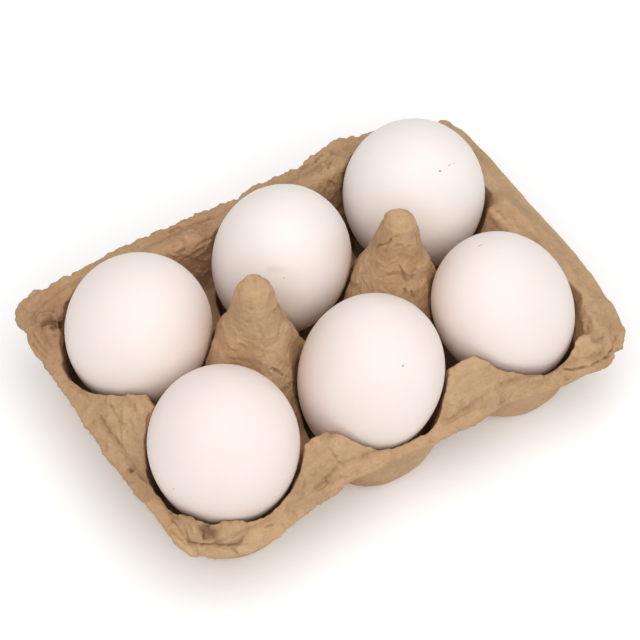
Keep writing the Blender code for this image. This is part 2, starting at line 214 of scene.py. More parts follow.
def envelope(x, y):
    in_front, in_back, in_left, in_right = rim_depths(x, y)
    depth = np.minimum(np.minimum(in_front, in_back), np.minimum(in_left, in_right))
    rim = rim_height(x, y, depth)
    z = SADDLE_Z + (rim - SADDLE_Z) * (1 - ease(9.5, 15, depth))
    for bx, zf, zb, left, right in LONG_BUTTRESS:
        past = ease(-3.0, 4.0, x - bx)
        side = 1 - 0.9 * np.where(x < bx, ease(*left, bx - x), ease(*right, x - bx))
        rise = np.clip((in_front - 3.6 + 2.6 * past) / (7.0 + 2.0 * past), 0, 1) * (1 - ease(13.0, 18.5, in_front))
        z = z + np.maximum(zf - z, 0) * rise * side * (in_front < 30)
        side = 1 - 0.9 * ease(5.0, 17.0, np.abs(x - bx))
        rise = ease(2.0, 9.0, in_back) * (1 - ease(10.5, 17.0, in_back))
        z = z + np.maximum(zb - z, 0) * rise * side * (in_back < 30)
    off = y - SHORT_BUTTRESS_Y
    side = 1 - np.where(off > 0, 0.75 * ease(11.0, 22.0, off), 0.9 * ease(5.0, 18.0, -off))
    rise = np.clip((in_left - 0.5) / 13.0, 0, 1) * (1 - ease(17.5, 24.0, in_left))
    z = z + np.maximum(SHORT_LEFT_Z - z, 0) * rise * side * (in_left < 34)
    side = 1 - 0.9 * ease(5.0, 18.0, np.abs(off))
    rise = ease(0.0, 15.0, in_right) * (1 - ease(17.0, 25.0, in_right))
    z = z + np.maximum(SHORT_RIGHT_Z - z, 0) * rise * side * (in_right < 34)
    z = z + 2.2 * ease(0, 7, in_right) * (1 - ease(9, 14, in_right)) * (1 - ease(30, 46, np.abs(y + 1)))
    for px, py, pz in POSTS:
        z = higher(z, pz - np.interp(np.hypot(x - px, y - py), CONE_D, CONE_DROP), 1.5)
    return z


def upper_skin(x, y):
    return lower(envelope(x, y), wall_height(wall_gap(x, y)), LIP_ROUND)


def lower_skin(x, y):
    z = upper_skin(x, y) - SHEET
    for part, n in ((0.35, 6), (0.7, 12), (0.92, 18)):
        for k in range(n):
            a = 2 * math.pi * k / n + part
            dx, dy = SHEET * part * math.cos(a), SHEET * part * math.sin(a)
            z = np.minimum(z, upper_skin(x + dx, y + dy) - SHEET * math.sqrt(1 - part * part))
    z = np.maximum(z, 0.0)
    return np.where(cup_gap(x, y) < -FLOOR_IN + 0.01, 0.0, z)


# ----------------------------------------------------------------- mesh grid
def on_square(x, y):
    return ((2 * x - CELL_X[0] - CELL_X[-1]) / (CELL_X[-1] - CELL_X[0]),
            (2 * y - CELL_Y[0] - CELL_Y[-1]) / (CELL_Y[-1] - CELL_Y[0]))


def inside_rim(cx, cy, x, y):
    """Points of a cell's edge, drawn in where the rounded rim would cut them off."""
    fx, fy = on_square(x, y)
    outer = np.maximum(np.abs(fx), np.abs(fy)) > 0.9995
    ox, oy = outline(fx, fy)
    reach, limit = np.hypot(x - cx, y - cy), np.hypot(ox - cx, oy - cy) - 1.8
    k = np.where(outer, np.minimum(1.0, limit / reach), 1.0)
    return cx + (x - cx) * k, cy + (y - cy) * k


def lip_reach(cx, cy, r, a):
    lo, hi = np.full_like(a, -6.0), np.full_like(a, 11.0)
    for _ in range(24):
        g = (lo + hi) / 2
        x, y = cx + (r + g) * np.cos(a), cy + (r + g) * np.sin(a)
        over = wall_height(g - cup_gap(x, y) + wall_gap(x, y)) > envelope(x, y)
        hi, lo = np.where(over, g, hi), np.where(over, lo, g)
    return (lo + hi) / 2


# the wall's profile by its length from the floor's edge, finely
_fine_g = np.linspace(-FLOOR_IN, 11.0, 800)
_fine_s = np.concatenate(([0], np.cumsum(np.hypot(np.diff(_fine_g), np.diff(wall_height(_fine_g))))))


def tray_plan(n):
    """Plan positions and quads of one skin, and its border loop."""
    turn = int(round(n * LIP_SHARE))
    floor = max(2, int(n * 0.05))
    side = 2 * n + 1
    ii, jj = np.meshgrid(np.arange(-n, n + 1), np.arange(-n, n + 1), indexing="ij")
    ii, jj = ii.ravel().astype(float), jj.ravel().astype(float)
    m = np.maximum(np.abs(ii), np.abs(jj))
    k = np.maximum(m, 1)
    flat = np.abs(ii) >= np.abs(jj)
    a = np.where(flat, math.pi / 4 * jj / np.where(ii == 0, 1, ii) + np.where(ii < 0, math.pi, 0),
                 math.pi / 2 - math.pi / 4 * ii / np.where(jj == 0, 1, jj) + np.where(jj < 0, math.pi, 0))
    a = np.where(m == 0, 0, a)
    gx, gy = 6 * n + 1, 4 * n + 1
    number = np.full((gx, gy), -1)
    px, py = np.zeros(gx * gy), np.zeros(gx * gy)
    for row in range(2):
        for col in range(3):
            cx, cy, r = CUPS["DEFABC"[row * 3 + col]]
            x0, x1, y0, y1 = CELL_X[col], CELL_X[col + 1], CELL_Y[row], CELL_Y[row + 1]
            ex, ey = inside_rim(cx, cy, (x0 + x1) / 2 + (x1 - x0) / 2 * ii / k, (y0 + y1) / 2 + (y1 - y0) / 2 * jj / k)
            ring = np.linspace(-math.pi, math.pi, 1441)
            reach = lip_reach(cx, cy, r, ring)[:-1]
            weight = np.hanning(63)[1:-1] / np.hanning(63).sum()
            reach = sum(w * np.roll(reach, k - 30) for k, w in enumerate(weight))
            lip = np.interp((a + math.pi) % (2 * math.pi) - math.pi, ring, np.append(reach, reach[0]))
            lip = np.minimum(lip, np.hypot(ex - cx, ey - cy) - r - 0.35)
            u = np.clip((m - floor) / (turn - floor), 0, 1) ** 0.85
            run = u * np.interp(lip, _fine_g, _fine_s)
            g = np.where(m <= floor, -r + (r - FLOOR_IN) * m / floor, np.interp(run, _fine_s, _fine_g))
            w = np.clip((m - turn) / (n - turn), 0, 1)
            x = (1 - w) * (cx + (r + g) * np.cos(a)) + w * ex
            y = (1 - w) * (cy + (r + g) * np.sin(a)) + w * ey
            at = (col * 2 * n + ii.astype(int) + n) * gy + (row * 2 * n + jj.astype(int) + n)
            px[at], py[at] = x, y
    at = np.arange(gx * gy).reshape(gx, gy)
    quads = np.stack((at[:-1, :-1], at[1:, :-1], at[1:, 1:], at[:-1, 1:]), -1).reshape(-1, 4)
    walk = np.concatenate((at[:-1, 0], at[-1, :-1], at[:0:-1, -1], at[0, :0:-1]))
    bx, by = np.interp(np.arange(gx) / (2 * n), range(4), CELL_X), np.interp(np.arange(gy) / (2 * n), range(3), CELL_Y)
    wx = np.concatenate((bx[:-1], np.full(gy - 1, bx[-1]), bx[:0:-1], np.full(gy - 1, bx[0])))
    wy = np.concatenate((np.full(gx - 1, by[0]), by[:-1], np.full(gx - 1, by[-1]), by[:0:-1]))
    return np.column_stack((px, py)), quads, walk, on_square(wx, wy)


def split(at, quads):
    """Quads as triangles along the shorter diagonal that turns none over."""
    def area(i, j, k):
        u, v = at[j] - at[i], at[k] - at[i]
        return u[:, 0] * v[:, 1] - u[:, 1] * v[:, 0]
    a, b, c, d = quads.T
    one = np.minimum(area(a, b, c), area(a, c, d))
    two = np.minimum(area(a, b, d), area(b, c, d))
    short = np.linalg.norm(at[a] - at[c], axis=1) < np.linalg.norm(at[b] - at[d], axis=1)
    pick = np.where((one <= 0) | (two <= 0), one > two, short)[:, None]
    first = np.where(pick, np.column_stack((a, b, c)), np.column_stack((a, b, d)))
    second = np.where(pick, np.column_stack((a, c, d)), np.column_stack((b, c, d)))
    return np.concatenate((first, second))


def vertex_normals(p, tris):
    f = np.cross(p[tris[:, 1]] - p[tris[:, 0]], p[tris[:, 2]] - p[tris[:, 0]])
    n = np.zeros_like(p)
    for k in range(3):
        for axis in range(3):
            n[:, axis] += np.bincount(tris[:, k], weights=f[:, axis], minlength=len(p))
    return n / np.maximum(np.linalg.norm(n, axis=1), 1e-12)[:, None]


def egg_room(p):
    """How far points are from the nearest egg's surface, roughly."""
    room = np.full(len(p), 99.0)
    for x, y, z, a, c, lx, ly in EGGS.values():
        axis = np.array((lx, ly, 1.0))
        axis /= np.linalg.norm(axis)
        q = p - np.array((x, y, z))
        along = q @ axis
        across = np.linalg.norm(q - along[:, None] * axis, axis=1)
        t = np.clip(along / c, -0.999, 0.999)
        prof = a * np.sqrt(1 - t * t) * (1 + BLUNT * t) / (1 + BLUNT * BLUNT / 2)
        slope = np.hypot(1.0, (a / c) * t / np.sqrt(1 - t * t))
        room = np.minimum(room, np.where(np.abs(along) < c, (across - prof) / slope, np.maximum(across - prof, np.abs(along) - c)))
    return room


# ------------------------------------------------------------ pulp's relief
# single marks left by moulding and handling: the points along each one, its
# half width, its height (a groove or hollow below zero, a fold above), mm, and
# how soft its sides are
MARKS = (
    # right post: a crack across its face, folds and pits
    (((23.1, 0.8, 68.3),), 0.80, 0.50, 1.00),
    (((26.6, -0.8, 68.3),), 0.80, 0.40, 1.00),
    (((24.1, -0.8, 68.5),), 0.50, -0.35, 1.00),
    (((26.6, -3.6, 68.1), (26.7, -6.6, 62.5), (29.3, -7.4, 53.6)), 1.10, 0.40, 1.00),
    (((17.6, 0.0, 56.3), (18.2, -2.0, 59.5), (19.3, -3.8, 61.5), (20.1, -4.2, 63.6), (21.4, -5.1, 65.1)), 0.30, -0.90, 1.00),
    (((18.4, -3.5, 58.7), (19.6, -4.8, 61.0), (21.3, -5.7, 63.2)), 0.60, 0.35, 1.00),
    (((20.7, -5.8, 61.5), (22.2, -6.6, 61.9), (23.9, -7.4, 60.6), (25.7, -7.4, 60.2)), 0.40, -0.30, 1.00),
    (((24.5, -7.4, 60.8),), 0.45, -0.50, 1.00),
    (((27.7, -4.6, 66.6),), 0.50, -0.50, 1.00),
    (((27.4, -6.1, 63.4),), 0.40, -0.50, 1.00),
    (((16.9, -3.0, 52.9), (18.1, -5.5, 53.2), (19.4, -6.6, 55.5), (21.0, -7.3, 56.8)), 0.50, 0.40, 1.00),
    (((18.9, -7.2, 51.4),), 0.90, 0.45, 1.00),
    (((18.0, -7.1, 50.0), (19.3, -8.3, 50.2)), 0.40, -0.45, 1.00),
    (((21.3, -8.2, 53.6), (22.0, -9.7, 49.7), (22.9, -11.4, 45.9)), 0.42, -0.55, 1.00),
    (((22.4, -8.8, 52.9), (23.4, -10.3, 48.9)), 0.50, 0.40, 1.00),
    (((24.2, -9.5, 51.4), (25.0, -10.9, 47.4)), 0.35, -0.45, 1.00),
    (((21.3, -11.2, 45.3), (21.1, -11.9, 43.1)), 0.38, -0.70, 1.00),
    (((23.3, -12.2, 44.0), (23.6, -13.1, 41.2)), 0.38, -0.70, 1.00),
    (((16.6, -8.0, 45.3),), 0.40, -0.50, 1.00),
    (((14.5, 2.2, 44.4), (12.7, -1.5, 41.2)), 0.35, 0.30, 1.00),
    (((22.9, 2.1, 67.4),), 1.80, 0.60, 1.00),
    (((58.4, 35.4, 3.1),), 1.50, 0.35, 1.00),
    (((57.1, 31.0, 2.4),), 1.20, -0.40, 1.00),
    # left post: pits high on its face, short creases near its foot
    (((-27.9, 1.7, 68.3), (-30.8, 1.3, 60.8), (-32.8, 3.4, 50.4)), 1.30, 0.45, 1.00),
    (((-21.6, -2.5, 68.9), (-20.5, -5.7, 60.8), (-17.1, -6.7, 48.7)), 1.20, 0.50, 1.00),
    (((-24.9, 2.1, 69.1),), 0.80, 0.45, 1.00),
    (((-22.6, -0.7, 69.3),), 0.70, 0.40, 1.00),
    (((-27.2, 1.8, 68.7),), 0.50, -0.35, 1.00),
    (((-24.3, -0.2, 69.6),), 0.45, -0.35, 1.00),
    (((-30.5, 0.2, 64.0), (-30.6, -2.2, 64.0)), 0.45, -0.30, 1.00),
    (((-27.7, -7.6, 58.3), (-27.1, -8.8, 54.2), (-27.7, -9.4, 51.2)), 0.45, -0.30, 1.00),
    (((-26.7, -8.1, 57.2), (-25.6, -9.3, 52.7)), 0.70, 0.30, 1.00),
    (((-32.9, -4.9, 51.0), (-31.2, -6.7, 50.0)), 0.50, 0.35, 1.00),
    (((-35.0, -3.8, 47.0), (-33.4, -5.7, 46.1)), 0.40, -0.30, 1.00),
    (((-28.6, -5.0, 64.4),), 0.50, -0.50, 1.00),
    (((-29.0, -5.2, 63.0),), 0.50, 0.35, 1.00),
    (((-29.9, -5.4, 59.3),), 0.50, -0.45, 1.00),
    (((-30.0, -4.7, 60.6),), 0.60, 0.30, 1.00),
    (((-31.5, -4.9, 55.3),), 0.40, -0.40, 1.00),
    (((-26.0, -13.3, 41.6), (-24.6, -14.0, 39.9), (-23.2, -14.6, 37.6)), 0.40, -0.70, 1.00),
    (((-26.0, -12.8, 42.7), (-23.8, -13.8, 40.2)), 0.50, 0.40, 1.00),
    (((-27.9, -10.4, 48.5), (-27.5, -11.9, 44.8)), 0.40, -0.30, 1.00),
    (((-20.4, -1.0, 67.6),), 1.50, 0.40, 1.00),
    # back, left of the middle egg: a long crack under the flange, plates below it
    (((-24.9, 50.8, 34.0), (-21.2, 50.4, 34.0), (-18.1, 49.5, 34.4), (-14.6, 49.4, 34.2), (-10.0, 49.2, 34.0)), 0.32, -1.00, 1.00),
    (((-23.3, 51.8, 33.8), (-16.8, 51.1, 33.8), (-11.9, 50.9, 33.8)), 0.80, 0.45, 1.00),
    (((-24.5, 45.7, 37.0), (-23.3, 43.5, 37.2), (-24.9, 41.4, 35.0)), 0.40, -0.55, 1.00),
    (((-20.7, 41.2, 35.5), (-17.6, 41.6, 35.5), (-14.5, 42.2, 34.2)), 0.40, -0.55, 1.00),
    (((-20.9, 40.4, 31.8), (-17.6, 40.6, 32.5)), 0.80, 0.50, 1.00),
    (((-29.9, 43.0, 37.2), (-27.4, 41.3, 34.8)), 0.50, 0.50, 1.00),
    # back, right of the middle egg
    (((23.5, 51.8, 34.0), (27.5, 51.1, 34.2), (31.2, 51.2, 35.3)), 0.35, -0.90, 1.00),
    (((34.3, 50.1, 36.5),), 0.70, -0.90, 1.00),
    (((31.9, 47.0, 37.4), (29.4, 44.2, 38.5)), 0.40, -0.70, 1.00),
    (((26.0, 43.5, 38.5), (27.8, 41.0, 37.0)), 0.60, 0.50, 1.00),
    # left end by the back corner: a curled hollow between two lips
    (((-73.6, 42.0, 31.6), (-71.8, 41.4, 32.3), (-71.1, 39.6, 32.1), (-72.1, 39.3, 31.6)), 1.00, -1.80, 1.00),
    (((-69.5, 39.3, 31.8), (-68.1, 40.1, 28.7)), 1.30, -1.80, 1.00),
    (((-74.6, 43.9, 31.4), (-73.2, 45.3, 31.8), (-71.1, 44.3, 32.9), (-69.8, 42.6, 33.3), (-68.7, 41.5, 32.7)), 0.60, 0.90, 1.00),
    (((-73.2, 46.0, 31.6), (-70.7, 44.9, 32.9), (-69.0, 43.2, 33.6)), 0.35, -0.50, 1.00),
    (((-75.9, 43.5, 30.8), (-74.2, 40.9, 31.4), (-72.5, 38.8, 31.4), (-72.2, 37.5, 30.8)), 0.60, 0.80, 1.00),
    (((-77.8, 40.8, 30.1), (-77.7, 36.6, 28.7), (-76.8, 34.2, 28.4)), 0.40, -0.50, 1.00),
    (((-68.2, 44.6, 34.0),), 0.40, -0.40, 1.00),
    (((-73.4, 53.0, 29.9), (-70.5, 53.0, 31.8), (-66.0, 51.2, 34.2)), 0.35, -0.40, 1.00),
    (((-79.7, 42.5, 29.5), (-79.3, 38.5, 28.9), (-78.6, 35.0, 28.0), (-77.8, 31.9, 28.0)), 0.35, -0.40, 1.00),
    (((-77.4, 21.7, 28.0),), 0.50, 0.50, 1.00),
    # left end between its two eggs: a valley inside the flange, creases, a hole
    (((-75.2, 7.7, 29.9), (-75.0, 0.1, 30.1), (-74.9, -7.7, 29.7), (-74.3, -14.3, 28.4)), 1.30, -0.35, 1.00),
    (((-70.8, 5.5, 32.7), (-71.3, -0.1, 32.5), (-73.3, -6.0, 31.0)), 0.42, -0.35, 1.00),
    (((-65.6, 0.1, 36.3), (-68.7, -2.8, 34.0), (-69.6, -8.1, 33.1)), 0.42, -0.35, 1.00),
    (((-67.7, 2.0, 34.4), (-70.4, -2.8, 33.1)), 0.90, 0.40, 1.00),
    (((-75.3, -14.8, 28.2),), 0.60, -1.30, 1.00),
    # front left corner: a flap and a mound against the egg, a pocket and a hole between
    (((-62.6, -47.0, 28.2), (-60.6, -47.5, 28.2), (-58.8, -48.4, 28.0)), 2.60, 1.90, 0.60),
    (((-72.2, -38.2, 28.9), (-70.6, -40.6, 29.3), (-70.6, -42.9, 28.7)), 2.10, 1.60, 0.60),
    (((-66.8, -43.9, 29.7), (-66.3, -45.2, 28.9)), 1.60, -2.20, 1.00),
    (((-67.7, -45.7, 28.2),), 0.75, -2.00, 1.00),
    (((-72.5, -43.8, 27.2), (-70.5, -46.1, 27.4), (-67.4, -47.6, 26.5), (-64.0, -49.2, 25.9), (-60.4, -51.1, 25.9), (-57.9, -50.6, 26.5)), 0.36, -0.90, 1.00),
    (((-74.1, -44.4, 26.5), (-71.0, -47.5, 26.1), (-64.5, -50.7, 25.0), (-59.1, -53.0, 25.9)), 1.10, 0.45, 1.00),
    (((-75.3, -38.5, 28.7), (-74.6, -41.3, 28.2), (-73.8, -43.9, 26.7)), 0.40, -0.60, 1.00),
    (((-51.4, -50.5, 26.7), (-49.0, -51.1, 26.7)), 0.36, -0.60, 1.00),
    (((-62.3, -51.0, 25.5), (-61.8, -53.5, 25.7)), 0.36, -0.70, 1.00),
    (((-73.4, -35.1, 27.6), (-73.6, -39.5, 28.7), (-73.1, -42.1, 28.0), (-72.5, -43.8, 27.2)), 0.40, -0.60, 1.00),
    (((-72.0, -35.5, 28.0), (-70.5, -37.6, 29.3), (-69.3, -40.1, 29.7), (-68.9, -42.3, 29.7), (-69.6, -43.6, 28.9)), 0.80, 0.60, 1.00),
    # the crest left of the middle egg is blunt
    (((-21.9, -38.4, 37.2),), 2.20, -0.90, 1.00), (((-26.8, -39.0, 37.2),), 1.80, 0.80, 1.00), (((-19.6, -41.5, 36.3),), 2.00, 0.40, 1.00),
    # front, left of the middle egg: the flange's fold and short upright creases
    (((-34.4, -45.6, 31.0), (-35.9, -47.5, 28.9), (-37.0, -48.9, 27.8)), 0.36, -0.50, 1.00),
    (((-23.8, -42.2, 35.3), (-22.8, -45.2, 31.8), (-21.5, -46.9, 30.4)), 0.40, -0.50, 1.00),
    (((-22.8, -43.3, 34.2), (-21.1, -44.6, 32.9)), 0.50, 0.40, 1.00),
    (((-30.2, -41.9, 36.3), (-31.3, -44.9, 32.5)), 0.90, 0.40, 1.00),
    # front right corner: a dimple, a long crack round the flange, a hole, a knob
    (((67.2, -47.7, 29.9), (69.1, -48.4, 29.1), (71.4, -48.0, 28.2)), 0.80, -0.90, 1.00),
    (((68.4, -46.1, 30.4), (69.9, -46.7, 29.9)), 1.40, -0.50, 1.00),
    (((54.5, -50.9, 27.4), (59.0, -52.6, 26.7), (62.7, -53.2, 26.7), (66.7, -53.0, 26.1), (69.8, -52.9, 25.0), (73.0, -51.1, 24.4), (75.1, -49.5, 24.8), (77.0, -48.2, 25.2)), 0.30, -0.95, 1.00),
    (((54.1, -53.6, 26.3),), 0.50, -1.10, 1.00),
    (((63.0, -47.5, 30.1), (67.7, -50.1, 28.2)), 1.90, 0.45, 0.50),
    (((69.9, -39.7, 27.6), (69.2, -41.4, 26.9)), 0.90, 0.50, 1.00),
    (((72.4, -40.0, 31.2), (74.0, -40.6, 30.8)), 0.35, -0.35, 1.00),
    (((72.8, -42.5, 30.6),), 0.40, -0.35, 1.00),
    # right end: a knob between its two eggs
    (((64.0, 3.7, 38.2), (64.3, 0.8, 38.2)), 1.50, 0.80, 1.00),
    (((66.3, 2.6, 38.5), (66.2, -0.9, 38.5)), 0.45, -0.50, 1.00),
)

# where the rim stands out or in: place in plan, reach, how far
EDGE_BITS = ((81.8, -38.4, 5.0, -0.9), (80.8, -47.4, 1.1, 2.0), (77.9, -48.4, 1.4, -0.5), (75.4, -53.0, 3.0, -1.3),
             (69.1, -56.5, 4.0, -0.4), (76.5, -51.0, 0.8, 0.7), (-76.2, 51.4, 3.4, 1.3), (-72.3, 52.8, 5.0, 1.8),
             (-63.1, 53.9, 7.0, -0.9), (-26.3, 53.4, 9.0, -0.9), (-0.6, 51.7, 4.0, -0.9), (16.7, 53.0, 6.0, -0.6),
             (26.4, 54.2, 5.0, 0.8), (51.6, 53.6, 4.0, -1.6), (49.7, 54.2, 1.4, 1.0), (41.4, 54.8, 1.0, 0.9),
             (41.7, 52.8, 1.2, -0.9), (80.1, 37.5, 6.0, -1.0), (76.7, 48.3, 1.5, 0.7), (-79.9, 39.1, 4.0, 0.7),
             (-75.8, -43.1, 4.0, 1.1), (-73.7, -47.1, 3.5, 1.1), (-73.9, -47.9, 0.6, 1.2), (-59.8, -55.8, 4.0, 1.0),
             (-55.0, -55.4, 7.0, 1.2), (-26.3, -51.6, 3.0, 0.8), (20.6, -53.2, 4.0, 0.8), (54.1, -55.1, 4.0, 0.9),
             (-80.0, 22.8, 0.9, 0.9), (-80.1, 30.3, 0.9, 0.7), (-79.7, -6.4, 0.8, -0.6), (-79.1, 5.8, 0.8, 0.6),
             (-79.2, 45.0, 3.5, -0.9), (-78.6, -19.0, 8.0, 0.8))
# parts that came out rougher or smoother than the rest: place, reach, factor
ROUGH = (((20.0, -7.0, 50.0), 11.0, 0.15), ((-19.0, 43.0, 36.0), 9.0, 0.8), ((30.0, 46.0, 36.0), 9.0, 0.8),
         ((-71.0, 42.0, 32.0), 9.0, 0.4), ((-67.0, -45.0, 27.0), 9.0, 0.2), ((-71.0, -4.0, 33.0), 11.0, 0.3),
         ((70.0, -46.0, 29.0), 9.0, 0.2), ((-27.0, -5.0, 60.0), 12.0, -0.5), ((25.0, -3.0, 68.0), 5.0, -0.4),
         ((79.0, 25.0, 30.0), 22.0, -0.6), ((79.0, -8.0, 30.0), 18.0, -0.6))
# patches painted darker or lighter as shade and light that fall there: place, reach, factor for red, green and blue
SHADE_AND_LIGHT_PATCHES = (((-19.0, 44.0, 36.0), 20.0, (-0.15, -0.22, -0.24)), ((30.0, 47.0, 37.0), 14.0, (-0.14, -0.17, -0.20)),
           ((-70.0, 47.0, 32.0), 12.0, (-0.09, -0.17, -0.18)), ((-76.0, 36.0, 29.0), 7.0, (-0.08, -0.12, -0.12)),
           ((-74.0, -19.0, 28.0), 8.0, (-0.13, -0.16, -0.18)), ((66.0, 0.0, 38.0), 9.0, (-0.02, -0.05, -0.05)),
           ((10.0, -40.0, 34.0), 12.0, (-0.02, -0.04, -0.05)), ((-25.0, -1.0, 66.0), 8.0, (0.04, 0.0, -0.02)),
           ((24.0, -1.0, 66.0), 7.0, (0.05, 0.03, 0.01)),
           ((-34.6, -0.8, 48.7), 7.0, (0.09, 0.06, 0.04)), ((20.4, -7.2, 55.5), 9.0, (0.06, 0.03, 0.01)),
           ((-5.5, -45.3, 12.0), 9.0, (0.08, 0.08, 0.11)), ((45.5, -46.3, 12.0), 8.0, (0.05, 0.05, 0.07)),
           ((69.8, -51.4, 26.1), 6.0, (0.07, 0.05, 0.05)), ((-74.6, -36.6, 28.0), 5.0, (0.10, 0.08, 0.07)),
           ((-39.2, -50.7, 27.2), 6.0, (-0.07, -0.07, -0.03)))


def from_line(p, points):
    """Distance of each point in p from a line through the given points."""
    points = np.array(points)
    if len(points) == 1:
        return np.linalg.norm(p - points[0], axis=1)
    best = np.full(len(p), 99.0)
    for a, b in zip(points[:-1], points[1:]):
        t = np.clip((p - a) @ (b - a) / ((b - a) @ (b - a)), 0, 1)
        best = np.minimum(best, np.linalg.norm(p - a - t[:, None] * (b - a), axis=1))
    return best


def step(p, wavelength, seed, edge):
    """Plates: flat to either side of a sharp wandering edge, -0.5..0.5."""
    return ease(-edge, edge, noise(p, wavelength, seed)) - 0.5


def relief(p, depth, level):
    """Height of the pulp's unevenness over the smooth form, and its colour factor with painted shade in grooves,
    creases and pits and painted shade and light in patches; level is how flat it lies.
    """
    warp = np.column_stack((noise(p, 11, 1), noise(p, 11, 2), noise(p, 11, 3))) * 2.6
    fine = np.column_stack((noise(p, 2.2, 11), noise(p, 2.2, 12), noise(p, 2.2, 13))) * 0.5
    q = p + warp + fine
    rough = np.ones(len(p))
    for place, reach, factor in ROUGH:
        rough += factor * hump(np.linalg.norm(p - np.array(place), axis=1), reach)
    rough = np.clip(rough, 0.3, 1.9)
    patch = ease(-0.1, 0.4, noise(p, 15, 8))
    large = 0.34 * noise(p, 18, 4) + 0.20 * noise(q, 8, 5)
    small = (0.20 * step(q, 10, 61, 0.08) + 0.20 * step(q, 6.0, 62, 0.07) + 0.16 * step(q, 3.6, 63, 0.09)
             + 0.16 * (ridges(q, 7.0, 9) ** 2 - 0.3) + 0.13 * noise(q, 3.4, 6))
    fibrous = 0.10 * noise(p, 1.8, 7) + 0.08 * (ridges(p, 1.5, 17) - 0.5) + 0.06 * noise(p, 0.8, 14)
    fibrous *= 0.15 + 0.85 * ease(0.25, 0.6, level)
    groove = patch * ridges(q * (1, 1, 0.75), 9.0, 10) ** 22
    # a crease where the flange turns up into the tray, all along but the right
    off = depth - 4.1 - 0.9 * noise(p, 13, 15) - 0.3 * noise(p, 3.5, 19)
    turned = ease(-0.5, 0.0, noise(p, 9, 16)) * (1 - ease(72, 76, p[:, 0]))
    crease = hump(off, 0.55) * turned
    d = large + rough * (small - 0.18 * groove) + (0.55 + 0.45 * rough) * fibrous
    d = d - 0.42 * crease + 0.34 * turned * (1 - ease(-1.3, -0.3, off)) + 0.10 * (1 - ease(2.4, 3.8, depth))
    # pits here and there
    at = np.random.RandomState(77).uniform((-79, -54, 20), (80, 54, 66), (900, 3))
    pits = np.zeros(len(p))
    for place in at[np.abs(upper_skin(at[:, 0], at[:, 1]) - at[:, 2]) < 2.2]:
        place = np.array((place[0], place[1], float(upper_skin(place[0], place[1]))))
        near = np.flatnonzero(np.abs(p[:, 0] - place[0]) < 2.0)
        pits[near] += hump(np.linalg.norm(p[near] - place, axis=1), 0.42 + 0.22 * math.sin(place[0] * 9.1))
    d = d - 0.5 * np.minimum(pits, 1.0)
    marks, groove_shade = np.zeros(len(p)), np.zeros(len(p))
    near_q = p + 0.9 * fine + 0.12 * warp
    for points, width, height, soft in MARKS:
        away = from_line(near_q, points)
        h = hump(away, width) if soft == 1 else 1 - ease(width * (1 - soft), width * (1 + soft), away)
        marks += height * h
        groove_shade += max(-height, 0.0) * h
    d = d + marks
    # painted shade: the colour is darker in grooves, hollows, creases and pits, and lighter where plates and fibres
    # stand higher
    shade_and_tone = (1.0 - 0.34 * np.clip(groove_shade, 0, 1.3) - 0.10 * np.clip(rough * groove + 1.3 * crease, 0, 1)
            - 0.22 * np.minimum(pits, 1.0) + 0.16 * np.clip(small, -0.5, 0.5) + 0.25 * np.clip(fibrous, -0.2, 0.2))
    # painted shade: the darker the colour, the redder it turns, standing for light bounced in hollows
    shade_and_tone = np.clip(shade_and_tone, 0.42, 1.12)[:, None] ** np.array((0.85, 1.0, 1.1))
    # painted shade and light in patches: darker at the back and in hollows, lighter on the posts and the cups' fronts
    for place, reach, factors in SHADE_AND_LIGHT_PATCHES:
        h = hump(np.linalg.norm(p - np.array(place), axis=1) * (1 + 0.25 * noise(p, 9, 18)), reach)
        shade_and_tone = shade_and_tone * (1 + h[:, None] * np.array(factors))
    return d, shade_and_tone


def edge_wander(x, y, top):
    """In-plane raggedness of the rim: how far its outline stands out or in."""
    p = np.column_stack((x, y, np.zeros_like(x)))
    w = 0.36 * noise(p, 9, 21) + 0.32 * noise(p, 3.7, 22) + 0.26 * noise(p, 1.5, 23) + 0.12 * noise(p, 0.8, 27)
    torn = ease(44, 50, y) * (1 - ease(60, 72, x))
    w = w + torn * (0.6 * noise(p, 6, 24) + 0.7 * (ridges(p, 4.2, 25) - 0.4) + 0.3 * noise(p, 1.3, 26))
    straight = ease(76, 79, x) * ease(-47, -44, y)
    w = w * (1 - 0.85 * straight) + 0.2
    for bx, by, reach, push in EDGE_BITS:
        w = w + push * hump(np.hypot(x - bx, y - by), reach)
    return w


